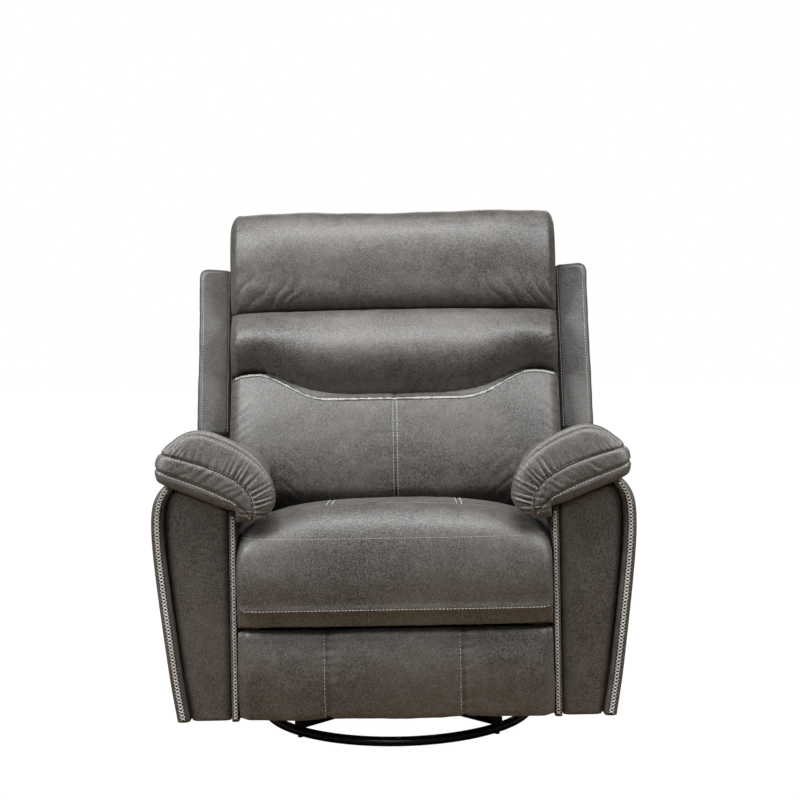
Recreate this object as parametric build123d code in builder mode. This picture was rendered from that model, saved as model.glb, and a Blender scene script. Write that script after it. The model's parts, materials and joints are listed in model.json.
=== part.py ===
import os
from math import atan2, cos, degrees, dist, radians, sin

from build123d import *

os.makedirs("parts", exist_ok=True)

# Swivel recliner, millimetres. It faces -Y, +X is on the right of someone facing it,
# and the origin is on the floor below the swivel.

# Plates of the seat mechanism, counted outwards from the rails, under the seat's edges
seat_half = 294
mechanism_inset = 48
plate = 4
washer_gap = 1
run_gap = 0.05
rail_x = seat_half - mechanism_inset
swing_x = rail_x + plate + washer_gap
seat_plate_x = swing_x + plate + washer_gap
link_x = seat_plate_x + plate + washer_gap
upper_link_x = link_x + plate + washer_gap
lower_link_x = upper_link_x + plate + washer_gap

# Floor ring and swivel
ring_radius = 282
ring_tube = 9.5
glide_height = 2.5
ring_z = glide_height + ring_tube
bar_width = 30
bar_z = ring_z + ring_tube
bar_top = bar_z + 10
plate_radius = 110
lower_plate_top = bar_top + 4
race_top = lower_plate_top + 5
upper_plate_top = race_top + 4
pin_radius = 10
nut_gap = 0.3
channel_x = 85
channel_top = 68
tube_side = 32
tube_ys = (-100, 165)
deck_top = channel_top + tube_side
deck_reach = seat_half + 96

# Seat swing links: two equal links on each side, leaning back at rest
swing_length = 90
swing_lean = 18
swing_z = 130
swing_ys = (-175, 115)
swing_pin = 6

# Footrest links: two parallelograms, so each link turns as far as the front one
front_pivot = (-360, 243)
rear_pivot = (-298, 243)
front_length = 200
front_angle = 230.8
toggle_length = 50
toggle_angle = 56.9
bracket_pivot = (-368, 200)
link_width = 16
link_pin = 5

# Seat
frame_half = seat_plate_x
frame_front = -385
frame_rear = 165
frame_low = 252
frame_high = 300
spring_wire = 4
seat_base = frame_high + spring_wire + 0.5
seat_front = frame_front - 83
seat_rear = 105
seat_crest = 487
apron_low = 283

# Arms
seat_clearance = 3
arm_inner = seat_half + seat_clearance
arm_width = 149
arm_crest = arm_inner + arm_width
arm_board = 18
arm_floor = deck_top
arm_top_inner = 498
arm_top_outer = 556
arm_cover = 6
arm_front = -437
arm_rear = 268
panel_front = -428
panel_back = -411
skin_low = arm_crest - 51
skin_mid = (arm_crest - 15, arm_top_outer - 86)
skin_x = arm_crest - 24
arm_edge = arm_crest - 14
arm_bead = 6

# Back
lean = 15
hinge_y = 205
hinge_z = 265
back_half = 381
back_low_half = link_x
back_depth = 25
cushion_base = back_depth + spring_wire + 0.5
cushion_half = back_half - 5
frame_top = 770
fold_depth = 0.3 - back_depth
wing_outer = back_half + 73

# Footrest
board_front = -424
board_back = -407
footrest_low = 104
footrest_high = 272

# Release handle, recessed in the left arm
cup_y = (-205, -105)
cup_z = (arm_top_outer - 141, arm_top_outer - 71)
cup_wall = 4
cup_face = arm_crest + 14
cup_back = arm_crest - 9


def write(piece, name):
    piece.label = name
    export_step(piece, f"parts/{name}.step")


def write_pair(piece, name):
    write(piece, f"{name}_right")
    with BuildPart() as other:
        mirror(piece, about=Plane.YZ)
    write(other.part, f"{name}_left")


def both_sides(piece):
    with BuildPart() as pair:
        add(piece)
        mirror(piece, about=Plane.YZ)
    return pair.part


def side(x):
    return Plane(origin=(x, 0, 0), x_dir=(0, 1, 0), z_dir=(1, 0, 0))


def across(y):
    return Plane(origin=(0, y, 0), x_dir=(1, 0, 0), z_dir=(0, -1, 0))


# Height of the arm's top, which slopes down towards the seat
def arm_top(x):
    return arm_top_inner + (arm_top_outer - arm_top_inner) * (x - arm_inner) / (arm_crest - arm_inner)


def turned(point, length, angle):
    return (point[0] - length * cos(radians(angle)), point[1] + length * sin(radians(angle)))


# A flat plate made of round-ended bars, with its pivot bores and the studs it carries
def link_plate(x, bars, bores=(), studs=()):
    with BuildPart() as piece:
        with BuildSketch(side(x)):
            for start, end, width in bars:
                turn = degrees(atan2(end[1] - start[1], end[0] - start[0]))
                with Locations(((start[0] + end[0]) / 2, (start[1] + end[1]) / 2)):
                    SlotCenterToCenter(dist(start, end), width, rotation=turn)
            for centre, radius in bores:
                with Locations(centre):
                    Circle(radius, mode=Mode.SUBTRACT)
        extrude(amount=plate)
        for centre, radius, reach in studs:
            with BuildSketch(side(x + plate)):
                with Locations(centre):
                    Circle(radius)
            extrude(amount=reach)
    return piece.part


# Round pins along X: centre, start, end, radius, then the head's start, end and radius
def pins(rows):
    with BuildPart() as piece:
        for centre, start, end, radius, head_start, head_end, head_radius in rows:
            with BuildSketch(side(start)):
                with Locations(centre):
                    Circle(radius)
            extrude(amount=end - start)
            with BuildSketch(side(head_start)):
                with Locations(centre):
                    Circle(head_radius)
            extrude(amount=head_end - head_start)
    return piece.part


# Back planes: (forward, up the back) at a station x, and (x, up the back) at a depth
lean_sin = sin(radians(lean))
lean_cos = cos(radians(lean))


def back_side(x):
    return Plane(origin=(x, hinge_y, hinge_z), x_dir=(0, -lean_cos, lean_sin), z_dir=(-1, 0, 0))


def back_face(depth):
    origin = (0, hinge_y - depth * lean_cos, hinge_z + depth * lean_sin)
    return Plane(origin=origin, x_dir=(1, 0, 0), z_dir=(0, -lean_cos, lean_sin))


# A back cushion lofted across X through sections of a flat back, two ends and a crown.
# The top one also folds back over the frame, from its cap height.
def back_cushion(stations, cap=None):
    with BuildPart() as piece:
        for x, low, high, edge, crown in stations:
            fold = [(cushion_base, cap), (fold_depth, cap), (fold_depth, high - 8)] if cap else []
            fold = fold or [(cushion_base, high)]
            with BuildSketch(back_side(x)):
                with BuildLine():
                    Polyline((cushion_base, low), *fold, (edge, high))
                    ThreePointArc((edge, high), (crown, (low + high) / 2), (edge, low))
                    Line((edge, low), (cushion_base, low))
                make_face()
        loft(ruled=True)
    return piece.part


def mirrored(stations):
    right = [row for row in stations if row[0] > 0]
    left = [(-row[0],) + row[1:] for row in reversed(right)]
    return left + [row for row in stations if row[0] == 0] + right


# Wavy spring wire in a plane, from one rail to the other
def wavy_springs(plane, centres, start, end, turns, swing):
    with BuildPart() as piece:
        with BuildSketch(plane):
            for centre in centres:
                with BuildLine():
                    steps = [start + (end - start) * i / turns for i in range(turns + 1)]
                    Polyline([(centre + swing * (-1) ** i, s) for i, s in enumerate(steps)])
                trace(line_width=spring_wire)
        extrude(amount=spring_wire)
    return piece.part


# Base: ring, crossed bars, glides and swivel bearing

with BuildPart() as base_ring:
    with BuildSketch(Plane.XZ):
        with Locations((ring_radius, ring_z)):
            Circle(ring_tube)
    revolve(axis=Axis.Z)
write(base_ring.part, "base_ring")

bar_bolt_radius = 85
with BuildPart() as base_cross_bars:
    with BuildSketch(Plane.XY.offset(bar_z)):
        SlotOverall(2 * (ring_radius + ring_tube), bar_width, rotation=45)
        SlotOverall(2 * (ring_radius + ring_tube), bar_width, rotation=-45)
        Circle(pin_radius, mode=Mode.SUBTRACT)
        with PolarLocations(bar_bolt_radius, 4, start_angle=45):
            Circle(4, mode=Mode.SUBTRACT)
    extrude(amount=bar_top - bar_z)
write(base_cross_bars.part, "base_cross_bars")

with BuildPart() as floor_glides:
    with BuildSketch(Plane.XY):
        with PolarLocations(ring_radius, 4, start_angle=45):
            Circle(5)
    extrude(amount=glide_height)
write(floor_glides.part, "floor_glides")

with BuildPart() as bearing_lower_plate:
    with BuildSketch(Plane.XY.offset(bar_top)):
        Circle(plate_radius)
        Circle(pin_radius, mode=Mode.SUBTRACT)
        with PolarLocations(bar_bolt_radius, 4, start_angle=45):
            Circle(4, mode=Mode.SUBTRACT)
    extrude(amount=lower_plate_top - bar_top)
write(bearing_lower_plate.part, "bearing_lower_plate")

with BuildPart() as bearing_ring:
    with BuildSketch(Plane.XY.offset(lower_plate_top)):
        Circle(70)
        Circle(46, mode=Mode.SUBTRACT)
    extrude(amount=race_top - lower_plate_top)
write(bearing_ring.part, "bearing_ring")

pin_top = upper_plate_top + 18
with BuildPart() as swivel_pin:
    with BuildSketch(Plane.XY.offset(bar_z - 3)):
        Circle(16)
    extrude(amount=3)
    with BuildSketch(Plane.XY.offset(bar_z)):
        Circle(pin_radius)
    extrude(amount=pin_top - bar_z)
write(swivel_pin.part, "swivel_pin")

with BuildPart() as swivel_nut:
    with BuildSketch(Plane.XY.offset(upper_plate_top + nut_gap)):
        RegularPolygon(18, 6)
        Circle(pin_radius, mode=Mode.SUBTRACT)
    extrude(amount=12)
write(swivel_nut.part, "swivel_nut")

with BuildPart() as base_bolts:
    with BuildSketch(Plane.XY.offset(bar_z)):
        with PolarLocations(bar_bolt_radius, 4, start_angle=45):
            Circle(4)
    extrude(amount=lower_plate_top - bar_z)
    with BuildSketch(Plane.XY.offset(lower_plate_top)):
        with PolarLocations(bar_bolt_radius, 4, start_angle=45):
            RegularPolygon(7.5, 6)
    extrude(amount=4)
write(base_bolts.part, "base_bolts")

# Turning deck under the arms and the seat

with BuildPart() as bearing_upper_plate:
    with BuildSketch(Plane.XY.offset(race_top)):
        Circle(plate_radius)
        Circle(pin_radius + run_gap, mode=Mode.SUBTRACT)
    extrude(amount=upper_plate_top - race_top)
write(bearing_upper_plate.part, "bearing_upper_plate")

channel_front = tube_ys[0] - tube_side / 2 - 6
channel_rear = tube_ys[1] + tube_side / 2 + 6
with BuildPart() as deck_channel:
    with BuildSketch(across(channel_front)):
        with Locations((channel_x, (upper_plate_top + channel_top) / 2)):
            Rectangle(40, channel_top - upper_plate_top)
        with Locations((channel_x + 3, (upper_plate_top + channel_top) / 2)):
            Rectangle(40, channel_top - upper_plate_top - 6, mode=Mode.SUBTRACT)
    extrude(amount=channel_front - channel_rear)
write(both_sides(deck_channel.part), "deck_channels")

rail_bolt_x = rail_x - 16
with BuildPart() as deck_cross_tubes:
    with BuildSketch(side(-deck_reach)):
        with Locations(*[(y, channel_top + tube_side / 2) for y in tube_ys]):
            Rectangle(tube_side, tube_side)
            Rectangle(tube_side - 5, tube_side - 5, mode=Mode.SUBTRACT)
    extrude(amount=2 * deck_reach)
    with BuildSketch(Plane.XY.offset(deck_top)):
        with Locations(*[(x, y) for x in (-rail_bolt_x, rail_bolt_x) for y in tube_ys]):
            Circle(4)
    extrude(amount=-8, mode=Mode.SUBTRACT)
write(deck_cross_tubes.part, "deck_cross_tubes")

flange_top = deck_top + plate
with BuildPart() as deck_bolts:
    with BuildSketch(Plane.XY.offset(deck_top - 8)):
        with Locations(*[(x, y) for x in (-rail_bolt_x, rail_bolt_x) for y in tube_ys]):
            Circle(4)
    extrude(amount=8 + plate)
    with BuildSketch(Plane.XY.offset(flange_top)):
        with Locations(*[(x, y) for x in (-rail_bolt_x, rail_bolt_x) for y in tube_ys]):
            RegularPolygon(7.5, 6)
    extrude(amount=5)
write(deck_bolts.part, "deck_bolts")

rail_front = swing_ys[0] - 30
rail_rear = max(swing_ys[1] + 30, tube_ys[1] + 14)
with BuildPart() as mechanism_rail:
    with BuildSketch(side(rail_x)):
        with Locations(((rail_front + rail_rear) / 2, deck_top + 14)):
            Rectangle(rail_rear - rail_front, 28)
        for y in swing_ys:
            with Locations((y, swing_z)):
                Circle(20)
            with Locations((y, swing_z - 15)):
                Rectangle(40, 30)
        for y in swing_ys:
            with Locations((y, swing_z)):
                Circle(swing_pin, mode=Mode.SUBTRACT)
    extrude(amount=plate)
    with BuildSketch(Plane.XY.offset(deck_top)):
        with Locations((rail_x - 16, (rail_front + rail_rear) / 2)):
            Rectangle(32, rail_rear - rail_front)
        with Locations(*[(rail_bolt_x, y) for y in tube_ys]):
            Circle(4, mode=Mode.SUBTRACT)
    extrude(amount=plate)
write_pair(mechanism_rail.part, "mechanism_rail")

swing_low = [(y, swing_z) for y in swing_ys]
swing_high = [turned(p, swing_length, 90 + swing_lean) for p in swing_low]
rail_pins = pins([(p, rail_x, seat_plate_x - 0.5, swing_pin, rail_x - 4, rail_x, 10) for p in swing_low])
write(both_sides(rail_pins), "rail_pivot_pins")

# Arms: one section for the frame and for the panels that close its two ends
frame_x = arm_inner + arm_board
skin_high = (skin_x, arm_top(skin_x) - arm_cover)
arm_section = (
    (frame_x, arm_floor),
    (skin_low, arm_floor),
    skin_mid,
    skin_high,
    (frame_x, arm_top(frame_x) - arm_cover),
)


def arm_block(front, rear, edge=0):
    with BuildPart() as piece:
        with BuildSketch(across(front)):
            with BuildLine():
                Polyline(*arm_section, close=True)
            make_face()
        extrude(amount=front - rear)
        if edge:
            chamfer(faces().sort_by(Axis.Y)[0].edges(), edge)
    return piece.part


end_thickness = 12
frame_rear_end = arm_rear - end_thickness
with BuildPart() as arm_frame:
    add(arm_block(panel_back, frame_rear_end))
    with BuildSketch(side(arm_inner)):
        with Locations(((panel_back + frame_rear_end) / 2, (arm_floor + arm_top_inner) / 2)):
            Rectangle(frame_rear_end - panel_back - 120, arm_top_inner - arm_floor - 120)
    extrude(amount=200, mode=Mode.SUBTRACT)
write_pair(arm_frame.part, "arm_frame")
write_pair(arm_block(panel_front, panel_back, 6), "arm_front_panel")
write_pair(arm_block(frame_rear_end, arm_rear), "arm_rear_panel")

outer_low = (arm_crest - 30, arm_floor)
outer_high = (arm_crest + 10, arm_top_outer - 76)
with BuildPart() as arm_outer_panel:
    with BuildSketch(across(arm_front)):
        with BuildLine():
            Polyline((skin_x, arm_top(skin_x)), skin_high, skin_mid, (skin_low, arm_floor), outer_low)
            ThreePointArc(outer_low, (arm_crest - 6, (arm_floor + arm_top_outer) / 2 - 29), outer_high)
            ThreePointArc(outer_high, (arm_crest + 5, arm_top_outer - 34), (arm_edge, arm_top(arm_edge)))
            Line((arm_edge, arm_top(arm_edge)), (skin_x, arm_top(skin_x)))
        make_face()
    extrude(amount=arm_front - arm_rear)
    chamfer(faces().sort_by(Axis.Y)[0].edges().filter_by(lambda e: e.length > 200), arm_bead)
with BuildPart() as cup_cut:
    with BuildSketch(Plane(origin=(-500, 0, 0), x_dir=(0, 1, 0), z_dir=(1, 0, 0))):
        with Locations((sum(cup_y) / 2, sum(cup_z) / 2)):
            Rectangle(cup_y[1] - cup_y[0], cup_z[1] - cup_z[0])
    extrude(amount=100)
with BuildPart() as arm_outer_panel_left:
    mirror(arm_outer_panel.part, about=Plane.YZ)
    add(cup_cut.part, mode=Mode.SUBTRACT)
write(arm_outer_panel.part, "arm_outer_panel_right")
write(arm_outer_panel_left.part, "arm_outer_panel_left")

with BuildPart() as arm_inner_panel:
    with BuildSketch(across(arm_front)):
        with BuildLine():
            Polyline(
                (arm_inner, arm_floor),
                (frame_x, arm_floor),
                (frame_x, arm_top(frame_x) - arm_cover),
                skin_high,
                (skin_x, arm_top(skin_x)),
                (arm_inner, arm_top_inner),
                close=True,
            )
        make_face()
    extrude(amount=arm_front - arm_rear)
    chamfer(faces().sort_by(Axis.Y)[0].edges().filter_by(Axis.Z).filter_by(lambda e: e.length > 300), 5)
write_pair(arm_inner_panel.part, "arm_inner_panel")


# Pillow on the arm: it rolls over the inner edge, is drawn in towards both ends and
# hangs a little over the arm's front, and gets lower and narrower towards the back.
# Stations: y, size, droop, share of the full height, share of the roll towards the seat
pillow_gap = 0.5
pillow_stations = (
    (-466, 0.62, 5, 1.1, 1.0),
    (-461, 0.82, 6, 1.1, 1.0),
    (-450, 0.95, 6, 1.1, 1.0),
    (-440, 1.0, 5, 1.1, 1.0),
    (-437.5, 1.0, 0, 1.1, 1.0),
    (-400, 1.0, 0, 1.03, 0.93),
    (-300, 1.0, 0, 0.84, 0.7),
    (-100, 1.0, 0, 0.62, 0.42),
    (40, 1.0, 0, 0.45, 0.3),
    (85, 0.96, 0, 0.4, 0.28),
    (104, 0.84, 0, 0.34, 0.26),
)
with BuildPart() as arm_pillow:
    for y, size, droop, rise, lobe in pillow_stations:
        corner_x = arm_inner - pillow_gap
        corner_z = arm_top(corner_x) + pillow_gap

        def at(x, z):
            base = arm_top(x) + pillow_gap
            z = base + (z - base) * rise if z > base else z
            reach = size * lobe if x < corner_x else size
            return (corner_x + (x - corner_x) * reach, corner_z + (z - corner_z) * size - droop)

        heel_x = arm_crest + 1
        heel = at(heel_x, arm_top(heel_x) + pillow_gap)
        lip = at(arm_inner - 69, arm_top_inner + 22)
        shoulder = at(arm_crest - 2, arm_top_outer + 40)
        with BuildSketch(across(y)):
            with BuildLine():
                Polyline(heel, at(corner_x, corner_z), at(corner_x, arm_top_inner - 26))
                ThreePointArc(at(corner_x, arm_top_inner - 26), at(arm_inner - 53, arm_top_inner - 21), lip)
                ThreePointArc(lip, at(arm_inner - 34, arm_top_inner + 87), at(arm_inner + 43, arm_top_inner + 123))
                ThreePointArc(at(arm_inner + 43, arm_top_inner + 123), at(arm_crest - 38, arm_top_outer + 73), shoulder)
                ThreePointArc(shoulder, at(arm_crest + 4, arm_top_outer + 20), heel)
            make_face()
    loft(ruled=True)
write_pair(arm_pillow.part, "arm_pillow")

with BuildPart() as rear_rail:
    with BuildSketch(side(-arm_inner)):
        with Locations((arm_rear - 28, arm_floor + 64)):
            Rectangle(22, 120)
    extrude(amount=2 * arm_inner)
write(rear_rail.part, "rear_rail")

# Release cup and its pull flap, hinged at the flap's front edge
flap_hinge_y = cup_y[0] + cup_wall + 7
flap_x = -cup_face + 6
flap_low = cup_z[0] + cup_wall + 1
flap_high = cup_z[1] - cup_wall - 1
stub = 2.5
with BuildPart() as release_bezel:
    with BuildSketch(side(-cup_face)):
        with Locations((sum(cup_y) / 2, sum(cup_z) / 2)):
            Rectangle(cup_y[1] - cup_y[0], cup_z[1] - cup_z[0])
    extrude(amount=cup_face - cup_back)
    with BuildSketch(side(-cup_face)):
        with Locations((sum(cup_y) / 2, sum(cup_z) / 2)):
            Rectangle(cup_y[1] - cup_y[0] - 2 * cup_wall, cup_z[1] - cup_z[0] - 2 * cup_wall)
    extrude(amount=cup_face - cup_back - cup_wall, mode=Mode.SUBTRACT)
    with BuildSketch(Plane.XY.offset(flap_low - 1 - 3)):
        with Locations((flap_x, flap_hinge_y)):
            Circle(stub + run_gap)
    extrude(amount=flap_high - flap_low + 8, mode=Mode.SUBTRACT)
write(release_bezel.part, "release_bezel")

with BuildPart() as release_handle:
    with BuildSketch(Plane.XY.offset(flap_low)):
        with BuildLine():
            Polyline(
                (flap_x - 3, flap_hinge_y - 3),
                (flap_x + 3, flap_hinge_y - 3),
                (flap_x + 3, flap_hinge_y + 56),
                (flap_x - 5, flap_hinge_y + 62),
                (flap_x - 5, flap_hinge_y + 50),
                (flap_x - 3, flap_hinge_y + 44),
                close=True,
            )
        make_face()
    extrude(amount=flap_high - flap_low)
    with BuildSketch(Plane.XY.offset(flap_low - 1 - 2.5)):
        with Locations((flap_x, flap_hinge_y)):
            Circle(stub)
    extrude(amount=flap_high - flap_low + 7)
write(release_handle.part, "release_handle")

# Swing links between rails and seat

for name, low, high in zip(("front", "rear"), swing_low, swing_high):
    bores = [(low, swing_pin + run_gap), (high, swing_pin + run_gap)]
    swing = link_plate(swing_x, [(low, high, 24)], bores)
    write(both_sides(swing), f"{name}_swing_links")

# Seat

back_pivot = (hinge_y, hinge_z)
seat_bars = [((-350, 272), (200, 272), 52), ((-350, 268), front_pivot, 24), (rear_pivot, (-298, 270), 24)]
seat_bars += [(p, (p[0], 262), 26) for p in swing_high]
seat_bores = [(p, swing_pin) for p in swing_high + [back_pivot, front_pivot, rear_pivot]]
write_pair(link_plate(seat_plate_x, seat_bars, seat_bores), "seat_plate")

seat_pins = [(p, swing_x - 0.5, link_x - 1, swing_pin, swing_x - 4, swing_x - 0.5, 9.5) for p in swing_high]
seat_pins += [
    (p, seat_plate_x, upper_link_x - 0.5, swing_pin, upper_link_x - 0.5, upper_link_x + 3, 9)
    for p in (back_pivot, front_pivot, rear_pivot)
]
write(both_sides(pins(seat_pins)), "seat_pivot_pins")

with BuildPart() as seat_frame:
    with BuildSketch(Plane.XY.offset(frame_low)):
        with Locations((0, (frame_front + frame_rear) / 2)):
            Rectangle(2 * frame_half, frame_rear - frame_front)
            Rectangle(2 * frame_half - 90, frame_rear - frame_front - 100, mode=Mode.SUBTRACT)
    extrude(amount=frame_high - frame_low)
write(seat_frame.part, "seat_frame")

seat_springs = wavy_springs(
    Plane.XY.offset(frame_high), (-150, -50, 50, 150), frame_front + 25, frame_rear - 25, 16, 18
)
write(seat_springs, "seat_springs")

# Seat cushion: a high front roll and a front face down to the footrest
seat_stations = (
    (0, 0, 0),
    (120, 6, 1),
    (200, 21, 4),
    (seat_half - 44, 39, 9),
    (seat_half - 10, 64, 18),
    (seat_half, 88, 30),
)
with BuildPart() as seat_cushion:
    for x, drop, pull in mirrored(seat_stations):
        rear_top = (seat_rear, seat_crest - 59 - 0.6 * drop)
        crest = (seat_front + 218, seat_crest - 15 - drop)
        roll = (seat_front + 10 + pull, seat_crest - 55 - 0.6 * drop)
        low = (seat_front + 13 + pull, apron_low)
        with BuildSketch(side(x)):
            with BuildLine():
                Line((seat_rear, seat_base), rear_top)
                ThreePointArc(rear_top, (seat_front + 393, seat_crest - 41 - 0.8 * drop), crest)
                ThreePointArc(crest, (seat_front + 73 + 0.6 * pull, seat_crest - drop), roll)
                ThreePointArc(roll, (seat_front + pull, 345), low)
                Polyline(low, (frame_front - 2, apron_low), (frame_front - 2, seat_base), (seat_rear, seat_base))
            make_face()
    loft(ruled=True)
write(seat_cushion.part, "seat_cushion")

# Back


def up_back(distance):
    return (hinge_y + distance * lean_sin, hinge_z + distance * lean_cos)


step_w = 300
back_bracket = link_plate(link_x, [(back_pivot, up_back(step_w - 26), 40)], [(back_pivot, swing_pin + run_gap)])
write_pair(back_bracket, "back_bracket")

with BuildPart() as back_frame:
    with BuildSketch(back_face(-back_depth)):
        with Locations((0, (45 + step_w) / 2)):
            Rectangle(2 * back_low_half, step_w - 45)
        with Locations((0, (step_w + frame_top) / 2)):
            Rectangle(2 * back_half, frame_top - step_w)
        with Locations((0, (105 + frame_top - 60) / 2)):
            Rectangle(2 * back_low_half - 120, frame_top - 165, mode=Mode.SUBTRACT)
    extrude(amount=2 * back_depth)
write(back_frame.part, "back_frame")

back_springs = wavy_springs(back_face(back_depth), (-110, 0, 110), 75, frame_top - 30, 18, 18)
write(back_springs, "back_springs")

panel_top = frame_top + 20
with BuildPart() as back_panel:
    with BuildSketch(back_face(-back_depth - 35)):
        with Locations((0, (50 + step_w) / 2)):
            Rectangle(2 * back_low_half, step_w - 50)
        with Locations((0, (step_w + panel_top) / 2)):
            Rectangle(2 * back_half, panel_top - step_w)
    extrude(amount=35)
    chamfer(faces().sort_by(Axis((0, 0, 0), (0, lean_cos, -lean_sin)))[-1].edges(), 10)
write(back_panel.part, "back_panel")

with BuildPart() as wing:
    with BuildSketch(back_face(-55)):
        with BuildLine():
            Polyline((back_half + 20, 694), (back_half, 694), (back_half, 302), (wing_outer, 302), (wing_outer, 650))
            ThreePointArc((wing_outer, 650), (wing_outer - 16, 681), (back_half + 20, 694))
        make_face()
    extrude(amount=125)
    fillet(faces().sort_by(Axis((0, 0, 0), (0, -lean_cos, lean_sin)))[-1].edges(), 12)
write_pair(wing.part, "wing")

# Cushion stations: x, low end, high end, depth at the ends, depth at the crown
head_stations = (
    (0, 579, frame_top + 38, 88, 160),
    (300, 579, frame_top + 40, 88, 158),
    (345, 584, frame_top + 37, 82, 146),
    (367, 597, frame_top + 30, 64, 118),
    (cushion_half, 614, frame_top + 20, 44, 78),
)
write(back_cushion(mirrored(head_stations), frame_top + 0.4), "headrest_cushion")

shoulder_stations = (
    (0, 371, 576, 104, 154),
    (150, 371, 576, 104, 154),
    (235, 400, 576, 104, 152),
    (300, 430, 576, 100, 148),
    (345, 436, 572, 84, 128),
    (cushion_half, 452, 556, 52, 78),
)
write(back_cushion(mirrored(shoulder_stations)), "shoulder_cushion")

lumbar_stations = (
    (0, 114, 367, 96, 134),
    (150, 114, 367, 96, 134),
    (235, 115, 396, 94, 132),
    (seat_half - 12, 122, 417, 84, 124),
    (seat_half - 2, 262, 421, 90, 122),
    (345, 270, 431, 80, 112),
    (cushion_half, 288, 424, 52, 72),
)
write(back_cushion(mirrored(lumbar_stations)), "lumbar_cushion")

# Footrest links, closed position


def shifted(point, offset):
    return (point[0] + offset[0], point[1] + offset[1])


link_front = turned(front_pivot, front_length, front_angle)
link_rear = turned(rear_pivot, front_length, front_angle)
toggle = turned((0, 0), toggle_length, toggle_angle)
link_toggle = shifted(link_front, toggle)
bracket_toggle = shifted(bracket_pivot, toggle)
pivot_bore = swing_pin + run_gap
stud_bore = link_pin + run_gap
upper_reach = upper_link_x + plate + 0.4 - link_x - plate
lower_reach = lower_link_x + plate + 1 - link_x - plate

front_link = link_plate(
    link_x,
    [(front_pivot, link_front, 20), (link_front, link_toggle, 18), (front_pivot, link_toggle, 18)],
    [(front_pivot, pivot_bore)],
    [(link_front, link_pin, upper_reach), (link_toggle, link_pin, lower_reach)],
)
write(both_sides(front_link), "front_ottoman_links")
rear_link = link_plate(
    link_x, [(rear_pivot, link_rear, link_width)], [(rear_pivot, pivot_bore)], [(link_rear, link_pin, upper_reach)]
)
write(both_sides(rear_link), "rear_ottoman_links")
upper_link = link_plate(
    upper_link_x,
    [(link_rear, link_front, link_width), (link_front, bracket_pivot, link_width)],
    [(p, stud_bore) for p in (link_rear, link_front, bracket_pivot)],
)
write(both_sides(upper_link), "upper_ottoman_links")
lower_link = link_plate(
    lower_link_x,
    [(link_toggle, bracket_toggle, link_width)],
    [(p, stud_bore) for p in (link_toggle, bracket_toggle)],
)
write(both_sides(lower_link), "lower_ottoman_links")

tube_centre = turned(front_pivot, 95, front_angle)
with BuildPart() as torque_tube:
    with BuildSketch(side(-link_x)):
        with Locations(tube_centre):
            Rectangle(20, 20, rotation=-front_angle)
            Rectangle(16, 16, rotation=-front_angle, mode=Mode.SUBTRACT)
    extrude(amount=2 * link_x)
write(torque_tube.part, "torque_tube")

bracket_plate = link_plate(
    link_x,
    [(bracket_pivot, bracket_toggle, 18), (bracket_pivot, (board_back + 9, 186), 18)],
    (),
    [(bracket_pivot, link_pin, upper_reach), (bracket_toggle, link_pin, lower_reach)],
)
with BuildPart() as footrest_bracket:
    add(bracket_plate)
    with BuildSketch(across(board_back)):
        with Locations((link_x + plate - 15, 192)):
            Rectangle(30, 36)
    extrude(amount=-plate)
write(both_sides(footrest_bracket.part), "footrest_brackets")

with BuildPart() as footrest_board:
    with BuildSketch(across(board_front)):
        with Locations((0, (footrest_low + footrest_high) / 2)):
            Rectangle(2 * seat_half - 16, footrest_high - footrest_low - 12)
    extrude(amount=board_front - board_back)
write(footrest_board.part, "footrest_board")

# Footrest pad: three panels, drawn in at two sewn channels and at the ends
pad_base = board_front - 0.2
pad_stations = (
    (0, 0, 32),
    (112, 0, 31),
    (127, 0, 23),
    (142, 0, 31),
    (250, 1, 30),
    (282, 5, 23),
    (seat_half, 12, 12),
)
with BuildPart() as footrest_pad:
    for x, draw, crown in mirrored(pad_stations):
        low = footrest_low + draw
        high = footrest_high - draw
        edge = pad_base - 0.4 * crown
        with BuildSketch(side(x)):
            with BuildLine():
                Polyline((edge, low), (pad_base, low), (pad_base, high), (edge, high))
                ThreePointArc((edge, high), (pad_base - crown, (low + high) / 2), (edge, low))
            make_face()
    loft(ruled=True)
write(footrest_pad.part, "footrest_pad")
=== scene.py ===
import json
from math import cos, exp, pi, radians, sin, sqrt

import bmesh
import bpy
from mathutils import Matrix, Vector, noise
from mathutils.bvhtree import BVHTree


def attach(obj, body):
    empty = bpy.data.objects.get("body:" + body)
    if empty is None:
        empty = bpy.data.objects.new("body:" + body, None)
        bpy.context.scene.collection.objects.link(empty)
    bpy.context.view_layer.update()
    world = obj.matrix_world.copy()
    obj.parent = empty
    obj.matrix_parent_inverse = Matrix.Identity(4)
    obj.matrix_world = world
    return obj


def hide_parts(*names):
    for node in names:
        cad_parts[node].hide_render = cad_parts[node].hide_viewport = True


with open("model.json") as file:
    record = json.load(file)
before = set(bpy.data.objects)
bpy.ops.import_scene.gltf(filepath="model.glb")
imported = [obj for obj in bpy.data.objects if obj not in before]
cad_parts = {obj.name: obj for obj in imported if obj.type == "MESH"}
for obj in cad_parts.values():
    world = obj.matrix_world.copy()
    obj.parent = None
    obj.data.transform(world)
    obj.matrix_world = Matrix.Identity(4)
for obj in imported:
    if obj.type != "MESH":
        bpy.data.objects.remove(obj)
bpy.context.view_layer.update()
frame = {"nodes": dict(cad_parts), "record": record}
scene = bpy.context.scene
mm = 0.001
hingeY, hingeZ = 205, 265
backLean = radians(15)
leanSin, leanCos = sin(backLean), cos(backLean)
sides = (("left", -1), ("right", 1))
inward = Vector((0, 1, 0))
downward = Vector((0, 0, -1))


# Lengths are millimetres. On the leaning back, n runs forwards from the frame and w upwards.
def backPoint(x, n, w):
    y = hingeY + w * leanSin - n * leanCos
    z = hingeZ + w * leanCos + n * leanSin
    return Vector((x, y, z)) * mm


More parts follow.
